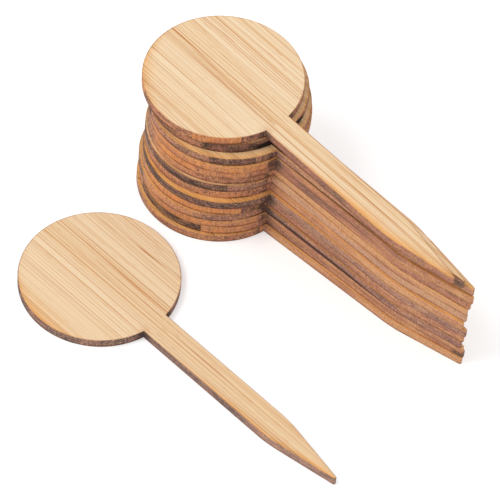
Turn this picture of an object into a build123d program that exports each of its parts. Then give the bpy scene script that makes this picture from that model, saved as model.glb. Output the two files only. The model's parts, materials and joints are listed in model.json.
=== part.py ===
from build123d import *
import os

# A pack of garden label stakes: fourteen piled face to face, and one that lies loose in front.
# Millimetres, +Z up. X runs along the pile's stakes towards their points, and the origin is
# under the centre of the lowest stake's round head.

# One stake is cut from flat bamboo board: a round head to write on, and a leg with a point.
head_diameter = 50.0
stake_length = 126.5
board_thickness = 3.0
leg_width = 9.4
point_length = 24.0
tip_width = 1.0
tip_corner_radius = 0.4
shoulder_radius = 40.0

# The board is made of strips glued edge to edge, which run along the stake. A strip that the
# round head would leave narrower than this at its side stays part of its neighbour.
strip_width = 10.2
least_strip_width = 1.4

# How far a cutting box runs past the board.
cut_overrun = 2.0

head_radius = head_diameter / 2
tip_x = stake_length - head_radius
point_start_x = tip_x - point_length

# Where each stake of the pile lies, from the lowest to the highest. The first two numbers are
# shares of the head's diameter: how far its head has slid along X and along Y. The turns are in
# degrees about the head's centre. The last list places the glue line that runs down each leg,
# as a share of the strip's width from the leg's middle.
pile_slide_shares = [
    (0.000, 0.000),
    (0.002, 0.022),
    (0.004, 0.027),
    (-0.006, 0.016),
    (0.002, 0.031),
    (0.012, 0.032),
    (-0.010, 0.063),
    (-0.010, 0.064),
    (-0.012, 0.082),
    (-0.002, 0.078),
    (0.008, 0.075),
    (-0.006, 0.079),
    (-0.056, 0.105),
    (-0.086, 0.092),
]
pile_turns = [1.5, 1.1, 0.4, 0.3, 0.0, 0.0, -1.15, -0.6, -1.15, -0.85, -0.7, -0.45, -2.35, -3.8]
pile_glue_line_shares = [
    0.31, -0.12, 0.20, -0.22, -0.30, -0.10, -0.23,
    0.30, 0.27, -0.30, 0.23, -0.12, -0.16, -0.20,
]

# The loose stake lies flat beside the pile, placed and turned in the same way.
loose_slide_share = (0.081, -1.102)
loose_turn = -1.3
loose_glue_line_share = -0.25


def stake_blank():
    """One whole stake, with its head centred on the origin and its underside at Z = 0."""
    leg = Polygon(
        (0, -leg_width / 2),
        (point_start_x, -leg_width / 2),
        (tip_x, -tip_width / 2),
        (tip_x, tip_width / 2),
        (point_start_x, leg_width / 2),
        (0, leg_width / 2),
        align=None,
    )
    leg = fillet(leg.vertices().group_by(Axis.X)[-1], tip_corner_radius)
    shoulders = leg.vertices().filter_by(lambda corner: abs(corner.Y) > leg_width / 2 - tip_corner_radius)
    leg = fillet(shoulders.group_by(Axis.X)[-1], shoulder_radius)
    return extrude(Circle(head_radius) + leg, board_thickness)


def glue_lines(glue_line_share):
    """Y of every glue line across the head, and of the one line that runs down the leg."""
    leg_line = glue_line_share * strip_width
    reach = head_radius - least_strip_width
    copies = int(head_diameter / strip_width) + 1
    lines = [leg_line + step * strip_width for step in range(-copies, copies + 1)]
    return [line for line in lines if abs(line) < reach], leg_line


def cut_strip(blank, low_y, high_y):
    """The part of the board between two glue lines, as one solid."""
    slab = Box(
        stake_length + 2 * cut_overrun,
        high_y - low_y,
        board_thickness + 2 * cut_overrun,
        align=(Align.MIN, Align.MIN, Align.MIN),
    )
    slab = Pos(-head_radius - cut_overrun, low_y, -cut_overrun) * slab
    return (blank & slab).solids()[0]


def stake_strips(glue_line_share):
    """The glued strips of one stake, in four named groups."""
    blank = stake_blank()
    lines, leg_line = glue_lines(glue_line_share)
    side = head_radius + cut_overrun
    edges = [-side] + lines + [side]
    groups = {
        "right_head_strips": [],
        "right_leg_strip": [],
        "left_leg_strip": [],
        "left_head_strips": [],
    }
    for low_y, high_y in zip(edges, edges[1:]):
        strip = cut_strip(blank, low_y, high_y)
        if high_y == leg_line:
            groups["right_leg_strip"].append(strip)
        elif low_y == leg_line:
            groups["left_leg_strip"].append(strip)
        elif low_y > leg_line:
            groups["left_head_strips"].append(strip)
        else:
            groups["right_head_strips"].append(strip)
    return groups


def write_stake(name, slide_share, turn, height, glue_line_share):
    """Place one stake at its height and write a file for each group of its strips."""
    slide_x, slide_y = slide_share
    place = Pos(slide_x * head_diameter, slide_y * head_diameter, height) * Rot(0, 0, turn)
    for group, strips in stake_strips(glue_line_share).items():
        placed = [place * strip for strip in strips]
        export_step(Compound(placed), f"parts/{name}_{group}.step")


os.makedirs("parts", exist_ok=True)

pile = zip(pile_slide_shares, pile_turns, pile_glue_line_shares)
for layer, (slide_share, turn, glue_line_share) in enumerate(pile):
    write_stake(f"stake_{layer + 1:02d}", slide_share, turn, layer * board_thickness, glue_line_share)
write_stake("loose_stake", loose_slide_share, loose_turn, 0, loose_glue_line_share)
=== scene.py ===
# %% [markdown]
# # A pack of round-headed bamboo plant labels
#
# The real thing is a pack of garden label stakes. Each is cut by laser from flat bamboo board:
# a round head to write on, and a straight leg with a point that goes into the soil. Fourteen lie
# in a slipped pile and one lies loose in front of it.
#
# The frame holds every stake at its real place and size, so the scene starts from it. Sizes below
# are in metres.

import json
import math
import random

import bmesh
import bpy
from mathutils import Matrix, Quaternion, Vector

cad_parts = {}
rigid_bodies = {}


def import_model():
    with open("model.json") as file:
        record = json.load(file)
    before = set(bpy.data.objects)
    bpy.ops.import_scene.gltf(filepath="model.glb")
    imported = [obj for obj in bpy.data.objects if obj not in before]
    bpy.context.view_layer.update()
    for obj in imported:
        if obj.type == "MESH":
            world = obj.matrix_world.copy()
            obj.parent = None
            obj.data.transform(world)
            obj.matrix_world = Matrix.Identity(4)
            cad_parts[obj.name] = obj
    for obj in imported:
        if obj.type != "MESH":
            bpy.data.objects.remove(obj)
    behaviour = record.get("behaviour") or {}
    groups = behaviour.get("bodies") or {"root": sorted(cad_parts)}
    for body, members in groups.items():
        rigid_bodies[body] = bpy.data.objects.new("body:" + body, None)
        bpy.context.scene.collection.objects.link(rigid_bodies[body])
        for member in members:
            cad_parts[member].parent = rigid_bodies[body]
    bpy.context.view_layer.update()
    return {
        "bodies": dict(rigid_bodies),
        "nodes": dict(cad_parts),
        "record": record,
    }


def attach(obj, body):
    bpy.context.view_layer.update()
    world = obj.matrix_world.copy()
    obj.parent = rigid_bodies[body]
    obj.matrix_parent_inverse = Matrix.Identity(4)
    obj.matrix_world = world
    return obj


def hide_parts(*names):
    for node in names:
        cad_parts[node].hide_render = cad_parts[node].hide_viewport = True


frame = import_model()
nodes = frame["nodes"]
stakes = sorted(frame["bodies"])
print("stakes:", len(stakes), "nodes:", len(nodes))

# %% [markdown]
# ## The camera
#
# The photograph is taken from a metre away with a long lens, about 51 degrees above the table, and
# the camera is tipped a little sideways. A camera could be aimed with a Track To constraint, but a
# rotation worked out once is plainer, and leaves nothing live in the scene.

# %% Camera
view_distance = 1.1014
view_height = math.radians(51.25)
view_side = math.radians(-50.0)
view_roll = math.radians(5.37)
view_target = Vector((0.0270, -0.0125, 0.0))
lens_length = 256.7
sensor_width = 36.0

flat_reach = view_distance * math.cos(view_height)
camera_offset = Vector((
    flat_reach * math.cos(view_side),
    flat_reach * math.sin(view_side),
    view_distance * math.sin(view_height),
))
bpy.ops.object.select_all(action="DESELECT")
bpy.ops.object.camera_add(location=view_target + camera_offset)
camera = bpy.context.object
camera.name = "camera"
camera.data.lens = lens_length
camera.data.sensor_width = sensor_width
camera.rotation_mode = "QUATERNION"
camera.rotation_quaternion = (-camera_offset).to_track_quat("-Z", "Y") @ Quaternion((0, 0, 1), view_roll)
bpy.context.scene.camera = camera
print("camera stands at", tuple(round(value, 3) for value in camera.location))

# %% [markdown]
# ## Building a material from nodes
#
# A material in Blender is a tree of nodes. It could be wired up by hand in the shader editor, but a
# wood with many marks has dozens of nodes, and the same few steps come again and again. So each step
# gets a short helper: one feeds a socket, three do sums, and one starts a new material.

# %% Sockets and sums
def feed(tree, socket, value):
    """Link an output to the socket, or set the socket to a constant."""
    if isinstance(value, bpy.types.NodeSocket):
        tree.links.new(value, socket)
    else:
        socket.default_value = value


def calc(tree, operation, *values):
    """One step of arithmetic."""
    node = tree.nodes.new("ShaderNodeMath")
    node.operation = operation
    for socket, value in zip(node.inputs, values):
        feed(tree, socket, value)
    return node.outputs[0]


def times(tree, first, *others):
    """Several values multiplied."""
    for other in others:
        first = calc(tree, "MULTIPLY", first, other)
    return first


def scaled(tree, value, factor, start):
    """A value times a factor, added to a start."""
    return calc(tree, "MULTIPLY_ADD", value, factor, start)


def new_material(name):
    """A material with its shader, ready for its colour, roughness and bump."""
    material = bpy.data.materials.new(name)
    material.use_nodes = True
    tree = material.node_tree
    return material, tree, tree.nodes["Principled BSDF"]


print("the helpers for sockets, sums and new materials are ready")

# %% [markdown]
# ## Floor and light
#
# The pack lies on a white sweep under soft studio light, so its shadows are faint. A white floor
# that is only lit turns out pale grey, and more light would burn the wood. Here the floor keeps its
# own shading, and the camera alone sees a little glow added to it, which brings it up to white.

# %% Floor
floor_width = 6.0
floor_sink = 0.00005
floor_tone = 0.80
floor_roughness = 0.9
floor_glow = 0.40


def looked_at(tree):
    """1 where the camera looks, straight or by way of glass or polish, and 0 for other light."""
    path = tree.nodes.new("ShaderNodeLightPath")
    seen = calc(tree, "MAXIMUM", path.outputs["Is Camera Ray"], path.outputs["Is Glossy Ray"])
    return calc(tree, "MAXIMUM", seen, path.outputs["Is Transmission Ray"])


def floor_material():
    """Matt white, with a glow that only the eye, glass and polish see."""
    material, tree, shader = new_material("white_sweep")
    shader.inputs["Base Color"].default_value = (floor_tone, floor_tone, floor_tone, 1)
    shader.inputs["Roughness"].default_value = floor_roughness
    shader.inputs["Specular IOR Level"].default_value = 0.0
    shader.inputs["Emission Color"].default_value = (1, 1, 1, 1)
    feed(tree, shader.inputs["Emission Strength"], times(tree, looked_at(tree), floor_glow))
    return material


bpy.ops.object.select_all(action="DESELECT")
bpy.ops.mesh.primitive_plane_add(size=floor_width, location=(0, 0, -floor_sink))
floor = bpy.context.object
floor.name = "floor"
floor.data.materials.append(floor_material())
print("floor:", floor_width, "m wide,", floor_sink * 1000, "mm below the stakes")

# %% Sky and key light
sky_level = 0.78
key_power = 9.0
key_width = 0.9
key_place = Vector((-0.55, -0.75, 1.35))

world = bpy.data.worlds.new("studio")
bpy.context.scene.world = world
world.use_nodes = True
sky = world.node_tree
sky_strength = scaled(sky, looked_at(sky), 1.0 - sky_level, sky_level)
sky.nodes["Background"].inputs["Color"].default_value = (1, 1, 1, 1)
feed(sky, sky.nodes["Background"].inputs["Strength"], sky_strength)

bpy.ops.object.select_all(action="DESELECT")
bpy.ops.object.light_add(type="AREA", location=key_place)
key = bpy.context.object
key.name = "key_light"
key.data.shape = "DISK"
key.data.size = key_width
key.data.energy = key_power
key.rotation_mode = "QUATERNION"
key.rotation_quaternion = (-key_place).to_track_quat("-Z", "Y")
bpy.context.scene.view_settings.view_transform = "Standard"
print("sky at", sky_level, "and a key light of", key_power, "W,", round(key_place.length, 2), "m away")

# %% [markdown]
# ## Where each stake lies
#
# The stakes are alike, and each lies with its own small slide and turn. These could be typed again
# here, but the frame already knows them: the head's box gives its centre, the point furthest from
# it is the tip, and the inner edge of a leg strip is the glue line that runs down the leg.

# %% Measure the stakes
groups = ("right_head_strips", "right_leg_strip", "left_leg_strip", "left_head_strips")

# Vertices this near to the furthest one belong to the tip.
tip_zone = 0.0002


def mm(length):
    """A length in millimetres, to print."""
    return round(length * 1000, 2)


def points_of(stake, wanted):
    """Every vertex of some of a stake's nodes."""
    points = []
    for group in wanted:
        points += [vertex.co.copy() for vertex in nodes[f"{stake}_{group}"].data.vertices]
    return points


def measure(stake):
    """The stake's head centre, turn and height, and its sizes in its own straight frame."""
    points = points_of(stake, groups)
    low_x, low_y, low_z = (min(point[axis] for point in points) for axis in range(3))
    high_y = max(point.y for point in points)
    radius = (high_y - low_y) / 2
    centre = Vector((low_x + radius, (low_y + high_y) / 2, low_z))
    arms = [point - centre for point in points]
    reach = max(arm.xy.length for arm in arms)
    tips = [arm for arm in arms if arm.xy.length > reach - tip_zone]
    turn = math.atan2(sum(tip.y for tip in tips), sum(tip.x for tip in tips))
    place = Matrix.Translation(centre) @ Matrix.Rotation(turn, 4, "Z")
    back = place.inverted()
    right_leg = [(back @ point).y for point in points_of(stake, ["right_leg_strip"])]
    left_leg = [(back @ point).y for point in points_of(stake, ["left_leg_strip"])]
    return {
        "place": place,
        "radius": radius,
        "reach": reach,
        "thickness": max(point.z for point in points) - low_z,
        "leg_line": (max(right_leg) + min(left_leg)) / 2,
        "strip_width": max(max(side) - min(side) for side in (right_leg, left_leg)),
    }


layout = {stake: measure(stake) for stake in stakes}
first = layout["loose_stake"]
head_radius = first["radius"]
tip_x = first["reach"]
board_thickness = first["thickness"]
strip_width = first["strip_width"]
print("head", mm(2 * head_radius), "mm, tip at", mm(tip_x), "mm, board", mm(board_thickness),
      "mm, strips", mm(strip_width), "mm")

# %% [markdown]
# ## The blank
#
# All stakes share one outline: a disc joined to a leg, whose end narrows to a blunt point. It could
# be drawn as a curve and thickened. Here it is made as in a workshop: a disc and a bar, the bar's
# end sawn to a point by two slanted cuts, its shoulders rounded, and the two joined by a Boolean.
# Last, the rims are eased a little, because the laser burns the sharp edge away and a real edge
# catches light.

# %% Sizes of the blank
leg_width = 0.0094
point_length = 0.024
tip_width = 0.001
tip_corner = 0.0003
shoulder_radius = 0.040
rim_ease = 0.00016

# Two places closer than this count as one.
hair = 0.00001

point_start_x = tip_x - point_length
taper = math.atan2((leg_width - tip_width) / 2, point_length)
neck_x = math.sqrt(head_radius ** 2 - (leg_width / 2) ** 2)
print("the leg leaves the head at", mm(neck_x), "mm and its point starts at", mm(point_start_x), "mm")

# %% Select and pick
def only(*objects):
    """Select just these objects, and make the first one active."""
    bpy.ops.object.select_all(action="DESELECT")
    for item in objects:
        item.select_set(True)
    bpy.context.view_layer.objects.active = objects[0]


def pick(kind, wanted):
    """In edit mode, select the faces or edges for which wanted says yes, and nothing else."""
    bpy.ops.mesh.select_all(action="DESELECT")
    bpy.ops.mesh.select_mode(type="FACE" if kind == "faces" else "EDGE")
    mesh = bmesh.from_edit_mesh(bpy.context.object.data)
    mesh.normal_update()
    for element in getattr(mesh, kind):
        if wanted(element):
            element.select_set(True)
    mesh.select_flush_mode()
    bmesh.update_edit_mesh(bpy.context.object.data)


def upright(edge, x):
    """Whether an edge stands upright at this X."""
    ends = [vertex.co for vertex in edge.verts]
    return all(abs(end.x - x) < hair for end in ends) and abs(ends[0].z - ends[1].z) > hair


def rim(edge):
    """Whether an edge lies between a flat face and an upright wall."""
    flats = [abs(face.normal.z) > 0.5 for face in edge.link_faces]
    return len(flats) == 2 and flats[0] != flats[1]


print("edges can be picked by where they lie")

# %% Leg
shoulder_facets = 12
corner_facets = 4


def model_leg():
    """A bar with a sawn point and rounded shoulders."""
    bpy.ops.object.select_all(action="DESELECT")
    bpy.ops.mesh.primitive_cube_add(
        size=1,
        location=(tip_x / 2, 0, board_thickness / 2),
        scale=(tip_x, leg_width, board_thickness),
    )
    leg = bpy.context.object
    bpy.ops.object.transform_apply(location=True, rotation=True, scale=True)
    bpy.ops.object.mode_set(mode="EDIT")
    for side in (-1, 1):
        bpy.ops.mesh.select_all(action="SELECT")
        bpy.ops.mesh.bisect(
            plane_co=(point_start_x, side * leg_width / 2, 0),
            plane_no=(math.sin(taper), side * math.cos(taper), 0),
            use_fill=True,
            clear_outer=True,
        )
    pick("edges", lambda edge: upright(edge, point_start_x))
    shoulder_cut = shoulder_radius * math.tan(taper / 2)
    bpy.ops.mesh.bevel(offset=shoulder_cut, segments=shoulder_facets, affect="EDGES")
    pick("edges", lambda edge: upright(edge, tip_x))
    bpy.ops.mesh.bevel(offset=tip_corner, segments=corner_facets, affect="EDGES")
    bpy.ops.object.mode_set(mode="OBJECT")
    return leg


leg = model_leg()
print("leg:", len(leg.data.vertices), "vertices,", len(leg.data.polygons), "faces")

# %% Blank
head_facets = 240
rim_facets = 3
same_plane = math.radians(0.2)


def model_blank(leg):
    """A disc joined to the leg, with eased rims."""
    bpy.ops.object.select_all(action="DESELECT")
    bpy.ops.mesh.primitive_cylinder_add(
        vertices=head_facets,
        radius=head_radius,
        depth=board_thickness,
        location=(0, 0, board_thickness / 2),
    )
    blank = bpy.context.object
    blank.name = "blank"
    bpy.ops.object.transform_apply(location=True, rotation=True, scale=True)
    union = blank.modifiers.new("join_leg", "BOOLEAN")
    union.operation = "UNION"
    union.solver = "EXACT"
    union.object = leg
    bpy.ops.object.modifier_apply(modifier=union.name)
    only(leg)
    bpy.ops.object.delete()
    only(blank)
    bpy.ops.object.mode_set(mode="EDIT")
    bpy.ops.mesh.select_all(action="SELECT")
    bpy.ops.mesh.remove_doubles(threshold=hair / 10)
    bpy.ops.mesh.dissolve_limited(angle_limit=same_plane)
    pick("edges", rim)
    bpy.ops.mesh.bevel(offset=rim_ease, segments=rim_facets, affect="EDGES")
    bpy.ops.object.mode_set(mode="OBJECT")
    return blank


blank = model_blank(leg)
print("blank:", len(blank.data.vertices), "vertices,", len(blank.data.polygons), "faces")

# %% [markdown]
# ## The look of each strip
#
# Bamboo board is glued up from strips, and each strip has its own tone, its own run of dark fibres
# and its own burn where the laser went through. One image for the whole stake would hide that. So
# every strip carries a few numbers in its mesh, and one material reads them.
#
# The burn is written from 0, a light orange scorch, to 1, charcoal. A row has the strips of one head
# from right to left, and the walls of each leg have a burn of their own.

# %% Burn of the walls
burn_of_heads = {
    "stake_14": (0.58, 0.08, 0.62, 0.50, 0.45, 0.50),
    "stake_13": (0.60, 0.92, 0.96, 0.50, 0.60, 0.55),
    "stake_12": (0.50, 0.84, 0.60, 0.40, 0.50, 0.70),
    "stake_11": (0.14, 0.16, 0.78, 0.50, 0.30, 0.60),
    "stake_10": (0.12, 0.30, 0.45, 0.50, 0.70, 0.40),
    "stake_09": (0.35, 0.58, 0.52, 0.60, 0.30, 0.45),
    "stake_08": (0.80, 0.46, 0.50, 0.40, 0.55, 0.60),
    "stake_07": (0.42, 0.38, 0.52, 0.60, 0.50, 0.30),
    "stake_06": (0.82, 0.74, 0.64, 0.50, 0.40, 0.60),
    "stake_05": (0.12, 0.16, 0.82, 0.50, 0.60, 0.50),
    "stake_04": (0.08, 0.48, 0.52, 0.30, 0.50, 0.70),
    "stake_03": (0.14, 0.30, 0.46, 0.60, 0.30, 0.50),
    "stake_02": (0.84, 0.16, 0.42, 0.50, 0.60, 0.40),
    "stake_01": (0.36, 0.40, 0.58, 0.50, 0.40, 0.60),
    "loose_stake": (0.66, 0.64, 0.62, 0.60, 0.60, 0.62),
}

# The same for the two long walls of each leg.
burn_of_legs = {
    "stake_14": 0.50, "stake_13": 0.48, "stake_12": 0.26, "stake_11": 0.38, "stake_10": 0.47,
    "stake_09": 0.05, "stake_08": 0.03, "stake_07": 0.10, "stake_06": 0.54, "stake_05": 0.36,
    "stake_04": 0.64, "stake_03": 0.26, "stake_02": 0.33, "stake_01": 0.00, "loose_stake": 0.62,
}

# The stakes whose points end in charcoal.
charred_points = ("stake_13", "stake_02")

# How grey the burnt wall is, where smoke has settled on it.
ash_of_walls = {"loose_stake": 0.75, "stake_12": 0.25, "stake_08": 0.35, "stake_06": 0.40, "stake_04": 0.25}
print("burn for", len(burn_of_heads), "stakes, charcoal points on", len(charred_points))

# %% Painted highlight and shade on the walls
# How bright the painted highlight is, a thin line along the top of a cut wall, on the head and
# on the leg.
highlights_of_heads = {
    "stake_14": 0.10, "stake_13": 0.15, "stake_12": 0.50, "stake_11": 0.50, "stake_10": 0.25,
    "stake_09": 0.40, "stake_08": 0.90, "stake_07": 0.30, "stake_06": 0.60, "stake_05": 0.60,
    "stake_04": 0.30, "stake_03": 0.90, "stake_02": 0.30, "stake_01": 0.80, "loose_stake": 0.10,
}
highlights_of_legs = {
    "stake_14": 0.10, "stake_13": 0.20, "stake_12": 0.35, "stake_11": 0.15, "stake_10": 0.10,
    "stake_09": 0.90, "stake_08": 0.10, "stake_07": 0.10, "stake_06": 0.60, "stake_05": 0.10,
    "stake_04": 0.20, "stake_03": 1.00, "stake_02": 0.70, "stake_01": 0.35, "loose_stake": 0.10,
}

# The board whose wall gets a painted black shadow low down at the neck, as if it stood a hair's
# breadth off the one below, and whose face rim gets painted shade too.
shadowed_boards = ("stake_13",)

# How dark the painted shade is along the foot of a leg's wall, standing for the gap where warped boards
# part at mid-leg.
parting_shade_of_legs = {"stake_12": 0.45, "stake_11": 0.30, "stake_04": 1.00}
print("boards with a sooty foot:", ", ".join(shadowed_boards + tuple(parting_shade_of_legs)))

# %% Scorch of the faces
# How far the flat face is browned in from its outline.
scorch_of_faces = {
    "stake_14": 0.34, "stake_13": 0.50, "stake_12": 0.60, "stake_11": 0.80, "stake_10": 0.60,
    "stake_09": 0.60, "stake_08": 0.12, "stake_07": 0.70, "stake_06": 1.00, "stake_05": 0.60,
    "stake_04": 0.80, "stake_03": 1.00, "stake_02": 0.80, "stake_01": 0.85, "loose_stake": 0.55,
}

# Where on its outline a face is browned most: X and Y in metres from the head's centre, and how far
# that reaches. Most stakes are browned along the whole right side, and two have one patch each.
hottest_side = (0.010, -0.025, 0.060)
hottest_spots = {
    "stake_14": (-0.017, -0.018, 0.024),
    "loose_stake": (-0.003, -0.0245, 0.019),
}

# How far the face is browned along the right side of the leg, towards the point.
usual_leg_scorch = 0.8
scorch_of_legs = {"stake_14": 1.15, "loose_stake": 0.50}
print("the most scorched face is that of", max(scorch_of_faces, key=scorch_of_faces.get))

# %% Fibres and tones of the seen faces
# How dense the dark fibres run in a strip: near its left side above 0, near its right side below.
# And how deep its straw tone is. Strips are listed from right to left. Faces that are hidden in the
# pile get both by chance.
fibres_of_seen = {
    "stake_14": (0.30, -0.55, -0.25, -0.85, -0.45, 0.70),
    "loose_stake": (0.15, -0.30, 0.45, 0.95, 0.30, 0.20),
}
tones_of_seen = {
    "stake_14": (0.5, 0.2, 0.0, 0.0, 0.2, 0.5),
    "loose_stake": (0.3, 0.3, 0.4, 0.3, 0.4, 0.3),
}
print("faces laid out by hand:", ", ".join(fibres_of_seen))

# %% [markdown]
# ## Strips
#
# A strip is the blank between two glue lines. It could be modelled on its own, but then neighbours
# might not meet. So the blank is copied and cut by two planes with Bisect, which also closes the
# cut. Each strip is then marked with its place in the board and its own look.

# %% Glue lines
# What the round head would leave narrower than this stays part of the next strip.
least_strip_width = 0.0014


def glue_lines(leg_line):
    """Y of the glue lines across the head, which keep a full strip's distance."""
    limit = head_radius - least_strip_width
    copies = int(head_radius / strip_width) + 1
    lines = [leg_line + step * strip_width for step in range(-copies, copies + 1)]
    return [line for line in lines if abs(line) < limit]


def group_of(low_y, high_y, leg_line):
    """The name of the group that the strip between two lines belongs to."""
    if abs(high_y - leg_line) < hair:
        return "right_leg_strip"
    if abs(low_y - leg_line) < hair:
        return "left_leg_strip"
    return "left_head_strips" if low_y > leg_line else "right_head_strips"


top_lines = glue_lines(layout["stake_14"]["leg_line"])
print("glue lines across the top stake's head, mm:", [mm(line) for line in top_lines])

# %% Cut and mark a strip
def cut_strip(low_y, high_y):
    """A copy of the blank, cut off at two glue lines."""
    only(blank)
    bpy.ops.object.duplicate()
    strip = bpy.context.object
    bpy.ops.object.mode_set(mode="EDIT")
    for y, side in ((low_y, -1), (high_y, 1)):
        bpy.ops.mesh.select_all(action="SELECT")
        bpy.ops.mesh.bisect(plane_co=(0, y, 0), plane_no=(0, side, 0), use_fill=True, clear_outer=True)
    bpy.ops.object.mode_set(mode="OBJECT")
    return strip


def write_value(mesh, name, kind, values):
    """Store one number or vector for each vertex."""
    attribute = mesh.attributes.new(name, kind, "POINT")
    attribute.data.foreach_set("vector" if kind == "FLOAT_VECTOR" else "value", values)


def mark_strip(strip, low_y, look, burn, stake):
    """Store where each vertex sits in its board, and the strip's own look."""
    mesh = strip.data
    spots = [vertex.co.copy() for vertex in mesh.vertices]
    # The eased corner at the neck belongs to the leg.
    leg_start_x = neck_x - 2 * rim_ease

    def by_part(on_head, on_leg):
        """One number for the head's vertices and another for the leg's."""
        return [on_leg if spot.x > leg_start_x else on_head for spot in spots]

    write_value(mesh, "grain", "FLOAT_VECTOR", [value for spot in spots for value in spot])
    write_value(mesh, "look", "FLOAT_VECTOR", list(look) * len(spots))
    hottest = hottest_spots.get(stake, hottest_side)
    write_value(mesh, "hottest", "FLOAT_VECTOR", list(hottest) * len(spots))
    write_value(mesh, "across", "FLOAT", [(spot.y - low_y) / strip_width for spot in spots])
    write_value(mesh, "burn", "FLOAT", by_part(burn, burn_of_legs[stake]))
    write_value(mesh, "top_highlight", "FLOAT", by_part(highlights_of_heads[stake], highlights_of_legs[stake]))
    same_all_over = {
        "scorch": scorch_of_faces[stake],
        "leg_scorch": scorch_of_legs.get(stake, usual_leg_scorch),
        "char": float(stake in charred_points),
        # The next two give painted shade: black at the neck and along the face rim, and dark along the foot
        # of the leg where boards part.
        "under_shade": float(stake in shadowed_boards),
        "gap_shade": parting_shade_of_legs.get(stake, 0.0),
        "ash": ash_of_walls.get(stake, 0.0),
    }
    for name, value in same_all_over.items():
        write_value(mesh, name, "FLOAT", [value] * len(spots))


print("strips can be cut and marked")

# %% [markdown]
# ## Patterns
#
# The bamboo and the burn are both made of noise. A photograph of wood could be wrapped around the
# part, but it would repeat from stake to stake and smear on the walls. Noise is read at each point's
# own place in the board, stretched along the grain, and cut off to lines, flecks or clouds.

# %% Noise, steps and colours
def read(tree, name, output):
    """A value that the mesh carries."""
    node = tree.nodes.new("ShaderNodeAttribute")
    node.attribute_name = name
    return node.outputs[output]


def split(tree, vector):
    """The three parts of a vector."""
    node = tree.nodes.new("ShaderNodeSeparateXYZ")
    feed(tree, node.inputs[0], vector)
    return node.outputs


def noise(tree, place, stretch, detail=2.0, roughness=0.5):
    """Noise with its own number of waves in a metre along X, Y and Z."""
    mapping = tree.nodes.new("ShaderNodeMapping")
    mapping.inputs["Scale"].default_value = stretch
    feed(tree, mapping.inputs["Vector"], place)
    node = tree.nodes.new("ShaderNodeTexNoise")
    node.inputs["Scale"].default_value = 1.0
    node.inputs["Detail"].default_value = detail
    node.inputs["Roughness"].default_value = roughness
    tree.links.new(mapping.outputs[0], node.inputs["Vector"])
    return node.outputs["Fac"]


def rise(tree, value, low, high):
    """A soft step: 0 below low and 1 above high."""
    node = tree.nodes.new("ShaderNodeMapRange")
    node.interpolation_type = "SMOOTHSTEP"
    feed(tree, node.inputs["Value"], value)
    feed(tree, node.inputs["From Min"], low)
    feed(tree, node.inputs["From Max"], high)
    return node.outputs[0]


def mix(tree, share, first, second):
    """Two colours mixed by a share."""
    node = tree.nodes.new("ShaderNodeMix")
    node.data_type = "RGBA"
    feed(tree, node.inputs[0], share)
    feed(tree, node.inputs[6], first)
    feed(tree, node.inputs[7], second)
    return node.outputs[2]


def srgb(red, green, blue):
    """A colour written as it looks, from 0 to 255, as the linear colour that a shader takes."""
    def linear(value):
        value = value / 255
        return value / 12.92 if value <= 0.04045 else ((value + 0.055) / 1.055) ** 2.4
    return linear(red), linear(green), linear(blue), 1.0


def bump(tree, shader, height, depth):
    """Relief of a real depth in metres, where height runs from 0 to 1."""
    node = tree.nodes.new("ShaderNodeBump")
    node.inputs["Strength"].default_value = 1.0
    node.inputs["Distance"].default_value = depth
    feed(tree, node.inputs["Height"], height)
    tree.links.new(node.outputs[0], shader.inputs["Normal"])


print("the helpers for patterns and colours are ready")

# %% Places on a stake
# How far a strip's seed, from 0 to 1, moves the place where it reads its noise, along X, Y and Z.
seed_strides = (7.0, 3.0, 5.0)


def stake_outline(tree, x, y):
    """How deep a point lies inside the outline, and on which side: -1 at the right, 1 at the left."""
    across_square = times(tree, y, y)
    along_square = times(tree, x, x)
    from_centre = calc(tree, "SQRT", calc(tree, "ADD", along_square, across_square))
    in_disc = calc(tree, "SUBTRACT", head_radius, from_centre)
    along_point = calc(tree, "MAXIMUM", calc(tree, "SUBTRACT", x, point_start_x), 0.0)
    half_leg = calc(tree, "SUBTRACT", leg_width / 2, times(tree, along_point, math.tan(taper)))
    in_leg = calc(tree, "SUBTRACT", half_leg, calc(tree, "ABSOLUTE", y))
    behind = times(tree, calc(tree, "LESS_THAN", x, 0.0), head_radius)
    in_leg = calc(tree, "SUBTRACT", in_leg, behind)
    depth = calc(tree, "MAXIMUM", calc(tree, "MAXIMUM", in_disc, in_leg), 0.0)
    disc_half = calc(tree, "SUBTRACT", head_radius ** 2, along_square)
    disc_half = calc(tree, "SQRT", calc(tree, "MAXIMUM", disc_half, 0.0))
    side = calc(tree, "DIVIDE", y, calc(tree, "MAXIMUM", disc_half, half_leg))
    return depth, side


def near(tree, x, y, spot_x, spot_y, reach):
    """1 at a spot, falling off around it to 0 at the reach."""
    along = calc(tree, "SUBTRACT", x, spot_x)
    across = calc(tree, "SUBTRACT", y, spot_y)
    square = calc(tree, "ADD", times(tree, along, along), times(tree, across, across))
    return rise(tree, calc(tree, "SQRT", square), reach, 0.0)


def near_neck(tree, x, y, reach):
    """1 in the two neck corners, where the laser slows to turn."""
    return near(tree, x, calc(tree, "ABSOLUTE", y), neck_x, leg_width / 2, reach)


def own_place(tree, spot, seed):
    """The spot moved far away by the strip's seed, so that no two strips show the same noise."""
    offset = tree.nodes.new("ShaderNodeCombineXYZ")
    for socket, stride in zip(offset.inputs, seed_strides):
        feed(tree, socket, times(tree, seed, stride))
    moved = tree.nodes.new("ShaderNodeVectorMath")
    moved.operation = "ADD"
    feed(tree, moved.inputs[0], spot)
    feed(tree, moved.inputs[1], offset.outputs[0])
    return moved.outputs[0]


print("the point narrows by", round(math.degrees(taper), 2), "degrees on each side")

# %% [markdown]
# ## Bamboo faces
#
# The sanded face is pale straw, with dark vessels that show as fine straight lines along the strip,
# as short flecks, and here and there as a thin line that wanders and closes on itself where the saw
# has grazed a bundle of them. Wood rings would be wrong here, because bamboo has none. The lines
# come from noise that is stretched along the grain and cut off sharply, and they crowd to one side
# of a strip, as they do towards the outside of the stem. Near the outline the laser has browned the
# face, and its lines are darker there.

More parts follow.
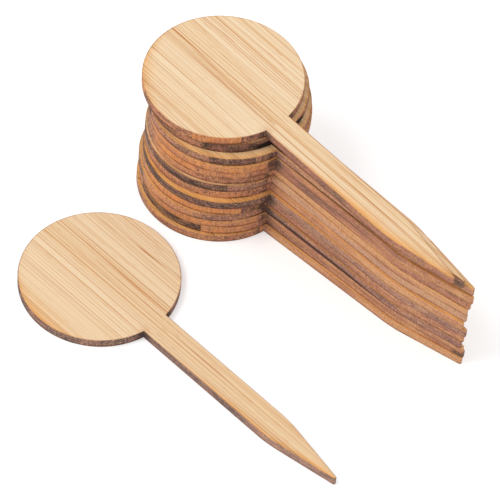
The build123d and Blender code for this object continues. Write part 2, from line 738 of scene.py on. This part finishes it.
# %% Marks on a face
# The tone of each mark, and of the lines where they run through the scorch.
face_marks = {
    "scorch": srgb(236, 168, 86),
    "band": srgb(222, 170, 110),
    "hair": srgb(216, 162, 100),
    "scorched_hair": srgb(178, 112, 48),
    "line": srgb(206, 142, 82),
    "scorched_line": srgb(156, 94, 42),
    "vessel": srgb(192, 118, 56),
    "scorched_vessel": srgb(146, 84, 36),
    "fleck": srgb(206, 140, 76),
    "glue": srgb(184, 126, 78),
    "rim": srgb(184, 116, 56),
    # Painted shade along the rim of a board in the shadow of the one above.
    "painted_shade": srgb(112, 78, 62),
    "smudge": srgb(200, 146, 92),
}
print("marks on a face:", ", ".join(face_marks))

# %% Scorch
# How far in from the outline the scorch reaches: on the head, along the leg, and at the least.
scorch_reach = 0.0055
leg_scorch_reach = 0.0026
least_scorch_reach = 0.00018


def scorching(tree, x, y, depth, right_side, ragged):
    """How near a point is to the browned outline, and how strongly it is browned."""
    scorch = read(tree, "scorch", "Fac")
    hot_x, hot_y, hot_reach = split(tree, read(tree, "hottest", "Vector"))
    hot = near(tree, x, y, hot_x, hot_y, hot_reach)
    leg_scorch = times(tree, rise(tree, x, neck_x, point_start_x), read(tree, "leg_scorch", "Fac"))
    reach = times(tree, scorch, hot, scorch_reach)
    reach = calc(tree, "ADD", reach, times(tree, leg_scorch, leg_scorch_reach, right_side))
    reach = times(tree, reach, scaled(tree, ragged, 1.8, 0.1))
    reach = calc(tree, "ADD", reach, least_scorch_reach)
    fall = calc(tree, "POWER", calc(tree, "DIVIDE", depth, reach), 1.3)
    halo = calc(tree, "EXPONENT", times(tree, fall, -1.0))
    strength = scaled(tree, leg_scorch, 0.30, scaled(tree, scorch, 0.35, 0.60))
    return halo, times(tree, halo, calc(tree, "MINIMUM", strength, 0.95))


print("the scorch reaches", mm(least_scorch_reach), "to", mm(scorch_reach), "mm in from the outline")

# %% Fibres
def crowding(tree, across, fibre):
    """How close the dark fibres stand: more towards one side of the strip."""
    # Which side it is: -1 or 1, whatever the density.
    toward = times(tree, fibre, 8.0)
    toward = calc(tree, "MINIMUM", calc(tree, "MAXIMUM", toward, -1.0), 1.0)
    close = scaled(tree, calc(tree, "SUBTRACT", across, 0.5), toward, 0.5)
    amount = calc(tree, "ABSOLUTE", fibre)
    return times(tree, scaled(tree, rise(tree, close, 0.30, 0.95), 0.80, 0.25), amount)


def draw_fibres(tree, colour, place, crowd, on_leg, halo, thin, fleck):
    """Soft bands, hair lines, sharp lines, wandering vessels and flecks, one over the other."""
    lines = noise(tree, place, (6, 900, 900), 2.0)
    hairs = noise(tree, place, (9, 2500, 2500), 1.0)
    wander = noise(tree, place, (4, 760, 760), 0.5)

    def tone(name):
        """A line's own tone, darker where it runs through the scorch."""
        return mix(tree, halo, face_marks[name], face_marks[f"scorched_{name}"])

    # Soft bands.
    bands = times(tree, rise(tree, lines, 0.48, 0.64), scaled(tree, crowd, 0.08, 0.03))
    colour = mix(tree, bands, colour, face_marks["band"])
    # Hair lines, which are stronger on the leg.
    hair_share = scaled(tree, on_leg, 0.12, scaled(tree, crowd, 0.12, 0.32))
    fine = times(tree, rise(tree, hairs, 0.50, 0.58), hair_share)
    colour = mix(tree, fine, colour, tone("hair"))
    # Sharp lines. Where they crowd, the noise is cut off lower, so there are more.
    cut = calc(tree, "SUBTRACT", 0.665, times(tree, crowd, 0.050))
    sharp = rise(tree, thin, cut, calc(tree, "ADD", cut, 0.035))
    sharp = times(tree, sharp, scaled(tree, crowd, 0.25, 0.55))
    colour = mix(tree, sharp, colour, tone("line"))
    # Wandering vessels, drawn as contour lines of a noise.
    phase = calc(tree, "FRACT", times(tree, wander, 9.0))
    vessel = rise(tree, calc(tree, "ABSOLUTE", calc(tree, "SUBTRACT", phase, 0.5)), 0.13, 0.06)
    shown = calc(tree, "SUBTRACT", 0.63, times(tree, crowd, 0.30))
    vessel = times(tree, vessel, rise(tree, lines, shown, calc(tree, "ADD", shown, 0.06)), 0.80)
    colour = mix(tree, vessel, colour, tone("vessel"))
    # Flecks.
    return mix(tree, times(tree, rise(tree, fleck, 0.66, 0.72), 0.40), colour, face_marks["fleck"])


print("fibres can be drawn in a strip")

# %% Bamboo face
# Each pair says where a mark starts and where it is complete: the glue line as a share of the
# strip's width, and the dark rim and the painted shade along it as depths inside the outline.
glue_fade = (0.022, 0.006)
rim_fade = (0.00045, 0.0001)
shade_fade = (0.0011, 0.0006)

# How far the smudge at the neck spreads, how deep the grain is, and how the sanded face shines.
smudge_reach = 0.0035
grain_relief = 0.000012
face_roughness = 0.62
face_shine = 0.25


def bamboo_face(name, pale, deep):
    """Sanded bamboo: tone, fibres, flecks, glue lines, the laser's scorch and painted shade at a rim."""
    material, tree, shader = new_material(name)
    spot = read(tree, "grain", "Vector")
    x, y = split(tree, spot)[:2]
    across = read(tree, "across", "Fac")
    seed, fibre, tone = split(tree, read(tree, "look", "Vector"))
    place = own_place(tree, spot, seed)
    on_leg = calc(tree, "GREATER_THAN", x, neck_x)
    crowd = times(tree, crowding(tree, across, fibre), scaled(tree, on_leg, -0.4, 1.0))
    depth, side = stake_outline(tree, x, y)
    right_side = rise(tree, side, 0.95, -0.95)

    broad = noise(tree, place, (9, 260, 260), 2.0)
    thin = noise(tree, place, (8, 2700, 2700), 0.5)
    fleck = noise(tree, place, (150, 2800, 2800), 1.0)
    ragged = noise(tree, place, (200, 200, 200), 3.0)
    halo, halo_share = scorching(tree, x, y, depth, right_side, ragged)

    # The straw tone, its clouds, the scorch and the fibres.
    colour = mix(tree, tone, pale, deep)
    colour = mix(tree, times(tree, rise(tree, broad, 0.35, 0.7), 0.20), colour, deep)
    colour = mix(tree, halo_share, colour, face_marks["scorch"])
    colour = draw_fibres(tree, colour, place, crowd, on_leg, halo, thin, fleck)

    # A broken glue line along each side of the strip.
    edge_of_strip = calc(tree, "MINIMUM", across, calc(tree, "SUBTRACT", 1.0, across))
    seam = rise(tree, edge_of_strip, *glue_fade)
    seam = times(tree, seam, rise(tree, noise(tree, place, (30, 5, 5), 1.0), 0.30, 0.6), 0.6)
    colour = mix(tree, seam, colour, face_marks["glue"])

    # The dark rim, painted shade along a shaded board's rim, and the smudge at the neck.
    rim_dark = rise(tree, depth, *rim_fade)
    colour = mix(tree, times(tree, rim_dark, 0.40), colour, face_marks["rim"])
    shaded = times(tree, rise(tree, depth, *shade_fade), read(tree, "under_shade", "Fac"))
    shaded = times(tree, shaded, rise(tree, side, 0.2, -0.2), 0.9)
    colour = mix(tree, shaded, colour, face_marks["painted_shade"])
    smudge = times(tree, near_neck(tree, x, y, smudge_reach), ragged, right_side, 0.8)
    colour = mix(tree, smudge, colour, face_marks["smudge"])
    feed(tree, shader.inputs["Base Color"], colour)

    shader.inputs["Roughness"].default_value = face_roughness
    shader.inputs["Specular IOR Level"].default_value = face_shine
    relief = calc(tree, "ADD", thin, times(tree, fleck, 0.6))
    bump(tree, shader, calc(tree, "SUBTRACT", 1.0, relief), grain_relief)
    return material


faces = {
    "pale_bamboo": bamboo_face("pale_bamboo", srgb(242, 217, 182), srgb(238, 208, 168)),
    "straw_bamboo": bamboo_face("straw_bamboo", srgb(240, 213, 176), srgb(235, 202, 161)),
    "honey_bamboo": bamboo_face("honey_bamboo", srgb(239, 211, 173), srgb(233, 198, 155)),
}
print("face materials:", ", ".join(faces))

# %% [markdown]
# ## Burnt edges
#
# The laser leaves the cut wall brown to charcoal. The tone steps from strip to strip, the beam
# leaves fine upright marks, and the fibres show as streaks along the leg and as dots where the
# head's wall meets them end on. The top of the wall gets a painted highlight, its foot painted shade,
# and smoke has greyed the back. All of that is one material, which reads the strip's burn.

# %% Tones of the burn
# From light orange through red brown and mauve to charcoal. The head's wall cuts across the fibres
# and burns redder than the leg's, where they lie along the cut.
head_tones = (
    srgb(236, 154, 90),
    srgb(224, 154, 104),
    srgb(206, 141, 106),
    srgb(166, 116, 92),
    srgb(114, 88, 74),
    srgb(70, 52, 44),
)
leg_tones = (
    srgb(228, 170, 122),
    srgb(210, 148, 108),
    srgb(188, 130, 104),
    srgb(162, 116, 98),
    srgb(122, 98, 84),
    srgb(84, 66, 56),
)
wall_marks = {
    "red_patch": srgb(180, 118, 102),
    "tan_patch": srgb(210, 156, 108),
    "pale_ash": srgb(196, 162, 148),
    "dark_ash": srgb(80, 68, 66),
    # A painted highlight along the top of the wall.
    "top_highlight": srgb(230, 172, 112),
    "beam_tick": srgb(92, 60, 46),
    "dark_speck": srgb(62, 42, 36),
    "pale_speck": srgb(240, 196, 160),
    # Painted shade: along the foot of every wall, where boards part, and black at the neck.
    "foot": srgb(108, 60, 36),
    "painted_shade": srgb(58, 40, 30),
    "neck_shadow_tone": srgb(34, 24, 20),
}


def burnt_tones(tree, level, tones):
    """The colour for a level of burn, through an even row of tones."""
    ramp = tree.nodes.new("ShaderNodeValToRGB")
    feed(tree, ramp.inputs[0], level)
    stops = ramp.color_ramp.elements
    stops[0].color = tones[0]
    stops[1].color = tones[-1]
    for step, tone in enumerate(tones[1:-1], start=1):
        stops.new(step / (len(tones) - 1)).color = tone
    return ramp.outputs[0]


print("tones of the burn:", len(head_tones), "on heads and", len(leg_tones), "on legs")

# %% How dark the burn is
# Where along the stake, in metres from the head's centre, the burn changes: each pair says where a
# change starts and where it is complete.
neck_change = (neck_x - 0.0005, neck_x + 0.0005)
darker_back = (-0.004, -0.022)
lighter_point = (0.045, 0.090)
charcoal_tip = (tip_x - 0.0045, tip_x - 0.003)
neck_burn_reach = 0.0045


def uneven(tree, level, pattern, amount):
    """A level that a noise moves up and down."""
    return scaled(tree, calc(tree, "SUBTRACT", pattern, 0.5), amount, level)


def wall_burn(tree, spot, x, y, burn, on_leg, cloud, streak, grit):
    """How dark the wall is: the strip's own burn, made uneven and changed along the stake."""
    whole_leg = noise(tree, own_place(tree, spot, burn), (22, 80, 80), 1.0)
    level = uneven(tree, burn, cloud, 0.85)
    level = uneven(tree, level, streak, 1.25)
    level = uneven(tree, level, grit, 0.5)
    level = uneven(tree, level, whole_leg, on_leg)
    level = scaled(tree, near_neck(tree, x, y, neck_burn_reach), 0.50, level)
    level = scaled(tree, rise(tree, x, *darker_back), 0.18, level)
    level = scaled(tree, rise(tree, x, *lighter_point), -0.20, level)
    at_tip = times(tree, rise(tree, x, *charcoal_tip), read(tree, "char", "Fac"))
    return scaled(tree, at_tip, 0.6, level)


print("the last", mm(tip_x - charcoal_tip[1]), "mm of a charred point are charcoal")

# %% Ash, painted highlight, specks and painted shade
# Ash thickens over the first two places, the painted shade where boards part fades with the distance
# from the middle of the leg, and the painted black shadow spreads from the neck.
ashen_back = (-0.006, -0.020)
mid_leg_x = 0.046
parting_fade = (0.038, 0.008)
neck_shadow_reach = 0.0075


def settle_ash(tree, colour, x, level, cloud):
    """Smoke greys the wall in clouds, most of all at the head's back."""
    ash = scaled(tree, rise(tree, x, *ashen_back), 0.65, read(tree, "ash", "Fac"))
    ash = calc(tree, "MINIMUM", times(tree, ash, scaled(tree, cloud, 1.0, 0.5)), 0.85)
    return mix(tree, ash, colour, mix(tree, level, wall_marks["pale_ash"], wall_marks["dark_ash"]))


def paint_highlight(tree, colour, wavy, burn, on_leg, hue):
    """A painted highlight along the top of the wall, broken up and fainter where the burn is deep."""
    strength = times(tree, read(tree, "top_highlight", "Fac"), rise(tree, burn, 1.0, 0.3))
    strength = times(tree, strength, scaled(tree, rise(tree, hue, 0.38, 0.6), 0.7, 0.3))
    wide = times(tree, on_leg, strength, 0.14)
    share = times(tree, rise(tree, calc(tree, "ADD", wavy, wide), 0.84, 0.97), strength)
    return mix(tree, share, colour, wall_marks["top_highlight"])


def draw_specks(tree, colour, level, on_leg, beam, grit):
    """Fine upright beam marks, dark pits, and pale grains that fade on a dark wall."""
    ticks = times(tree, rise(tree, beam, 0.46, 0.62), scaled(tree, on_leg, -0.18, 0.26))
    colour = mix(tree, ticks, colour, wall_marks["beam_tick"])
    fewer_on_leg = scaled(tree, on_leg, -0.25, 1.0)
    dark_specks = times(tree, rise(tree, grit, 0.59, 0.66), fewer_on_leg, 0.68)
    colour = mix(tree, dark_specks, colour, wall_marks["dark_speck"])
    pale_specks = times(tree, rise(tree, grit, 0.41, 0.34), fewer_on_leg, 0.55)
    pale_specks = times(tree, pale_specks, scaled(tree, rise(tree, level, 0.9, 0.4), 0.6, 0.4))
    return mix(tree, pale_specks, colour, wall_marks["pale_speck"])


def paint_wall_shade(tree, colour, x, y, height, wavy, on_leg, hue):
    """Painted shade: a brown foot on every wall, more where warped boards part, and black at a neck."""
    # Painted shade along the foot of every wall.
    foot = times(tree, rise(tree, wavy, 0.34, 0.06), rise(tree, hue, 0.25, 0.55))
    foot = times(tree, foot, scaled(tree, on_leg, -0.20, 0.75))
    colour = mix(tree, foot, colour, wall_marks["foot"])
    # Painted shade where warped boards part at mid-leg.
    from_middle = calc(tree, "ABSOLUTE", calc(tree, "SUBTRACT", x, mid_leg_x))
    gap_shade = times(tree, rise(tree, from_middle, *parting_fade), read(tree, "gap_shade", "Fac"))
    painted_shade = rise(tree, height, scaled(tree, gap_shade, 0.55, 0.05), times(tree, gap_shade, 0.30))
    painted_shade = times(tree, painted_shade, on_leg, rise(tree, gap_shade, 0.05, 0.5), 0.9)
    colour = mix(tree, painted_shade, colour, wall_marks["painted_shade"])
    # Painted black shadow on the lower wall near the neck.
    neck_shadow_share = times(tree, near_neck(tree, x, y, neck_shadow_reach), rise(tree, height, 0.95, 0.45))
    neck_shadow_share = calc(tree, "MINIMUM", times(tree, neck_shadow_share, read(tree, "under_shade", "Fac"), 3.0), 1.0)
    return mix(tree, neck_shadow_share, colour, wall_marks["neck_shadow_tone"])


print("marks on a wall:", ", ".join(wall_marks))

# %% Burnt edge
# How deep the beam and the fibres cut into the wall, and how it shines.
burn_relief = 0.00008
wall_roughness = 0.8
wall_shine = 0.2


def burnt_edge():
    """The cut wall: burn by strip, fibre streaks, ash, painted highlight and shade, specks and beam marks.
    """
    material, tree, shader = new_material("burnt_edge")
    spot = read(tree, "grain", "Vector")
    x, y, z = split(tree, spot)
    place = own_place(tree, spot, split(tree, read(tree, "look", "Vector"))[0])
    burn = read(tree, "burn", "Fac")
    height = calc(tree, "DIVIDE", z, board_thickness)
    on_leg = rise(tree, x, *neck_change)

    cloud = noise(tree, place, (110, 110, 160), 3.0, 0.6)
    hue = noise(tree, place, (60, 240, 500), 2.0)
    streak = noise(tree, place, (32, 1300, 1300), 3.0, 0.6)
    beam = noise(tree, place, (2500, 2500, 160), 1.0)
    grit = noise(tree, place, (1900, 1900, 1900), 2.0, 0.7)

    level = wall_burn(tree, spot, x, y, burn, on_leg, cloud, streak, grit)
    head_colour = burnt_tones(tree, level, head_tones)
    leg_colour = burnt_tones(tree, level, leg_tones)
    colour = mix(tree, on_leg, head_colour, leg_colour)
    colour = mix(tree, times(tree, rise(tree, hue, 0.48, 0.68), 0.45), colour, wall_marks["red_patch"])
    colour = mix(tree, times(tree, rise(tree, hue, 0.46, 0.30), 0.35), colour, wall_marks["tan_patch"])
    colour = settle_ash(tree, colour, x, level, cloud)
    wavy = uneven(tree, height, cloud, 0.35)
    colour = paint_highlight(tree, colour, wavy, burn, on_leg, hue)
    colour = draw_specks(tree, colour, level, on_leg, beam, grit)
    colour = paint_wall_shade(tree, colour, x, y, height, wavy, on_leg, hue)
    feed(tree, shader.inputs["Base Color"], colour)

    shader.inputs["Roughness"].default_value = wall_roughness
    shader.inputs["Specular IOR Level"].default_value = wall_shine
    bump(tree, shader, calc(tree, "ADD", beam, streak), burn_relief)
    return material


burnt = burnt_edge()
print("edge material:", burnt.name)

# %% [markdown]
# ## The stakes
#
# Each stake is cut into its strips at its own glue lines, so no two are alike. Flat faces get the
# bamboo, and the walls with their eased rims get the burn. Shading is smooth only over angles below
# 12 degrees, which takes in the facets of the round walls. A large flat face that shared its normals
# with a rim or a glue joint would look pillowed. The strips of one named group are joined, and the
# group is turned and set down where its stake lies.

# %% Dress a strip
# How far along an axis a normal has to point for its face to be square to it.
square_on = 0.999
smooth_below = math.radians(12.0)


def is_wall(face, low_y, high_y):
    """Whether a face belongs to the cut outline, and not to a flat side or a glue joint."""
    if abs(face.normal.z) > square_on:
        return False
    corners_y = [vertex.co.y for vertex in face.verts]
    on_joint = all(abs(y - low_y) < hair or abs(y - high_y) < hair for y in corners_y)
    return not (on_joint and abs(face.normal.y) > square_on)


def dress_strip(strip, low_y, high_y, slot):
    """Give the flat faces bamboo and the walls their burn."""
    strip.data.materials.clear()
    strip.data.materials.append(faces[slot])
    strip.data.materials.append(burnt)
    only(strip)
    bpy.ops.object.mode_set(mode="EDIT")
    bpy.ops.mesh.select_all(action="SELECT")
    bpy.ops.mesh.normals_make_consistent(inside=False)
    pick("faces", lambda face: is_wall(face, low_y, high_y))
    strip.active_material_index = 1
    bpy.ops.object.material_slot_assign()
    bpy.ops.object.mode_set(mode="OBJECT")
    bpy.ops.object.shade_smooth_by_angle(angle=smooth_below)


print("walls are smooth below", round(math.degrees(smooth_below)), "degrees")

# %% Stakes
# Which bamboo each node is made of.
slots = {part["node"]: part["material_slot"] for part in frame["record"]["subparts"]}

# A hidden strip gets its fibres by chance, no fewer and no more than this.
least_fibre = 0.2
most_fibre = 0.9
chance = random.Random(5)


def join(strips, name):
    """Make one piece of the strips in a group."""
    only(*strips)
    if len(strips) > 1:
        bpy.ops.object.join()
    piece = bpy.context.object
    piece.name = name
    piece.data.name = name
    return piece


def build_stake(stake):
    """Cut, mark, dress and place the strips of one stake."""
    spot = layout[stake]
    burns = burn_of_heads[stake]
    lines = glue_lines(spot["leg_line"])
    edges = [lines[0] - strip_width] + lines + [lines[-1] + strip_width]
    members = {group: [] for group in groups}
    for index, (low_y, high_y) in enumerate(zip(edges, edges[1:])):
        group = group_of(low_y, high_y, spot["leg_line"])
        strip = cut_strip(low_y, high_y)
        column = min(index, len(burns) - 1)
        if stake in fibres_of_seen:
            fibre = fibres_of_seen[stake][column]
        else:
            fibre = chance.choice((-1, 1)) * chance.uniform(least_fibre, most_fibre)
        seed = chance.random()
        tone = chance.random()
        if stake in tones_of_seen:
            tone = tones_of_seen[stake][column]
        mark_strip(strip, low_y, (seed, fibre, tone), burns[column], stake)
        dress_strip(strip, low_y, high_y, slots[f"{stake}_{group}"])
        members[group].append(strip)
    for group, strips in members.items():
        piece = join(strips, f"{stake}_{group.replace('strips', 'boards').replace('strip', 'board')}")
        piece.matrix_world = spot["place"]
        bpy.ops.object.transform_apply(location=True, rotation=True, scale=True)
        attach(piece, stake)
        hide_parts(f"{stake}_{group}")
    return len(lines) + 1


strip_count = sum(build_stake(stake) for stake in stakes)
only(blank)
bpy.ops.object.delete()
print("strips:", strip_count)
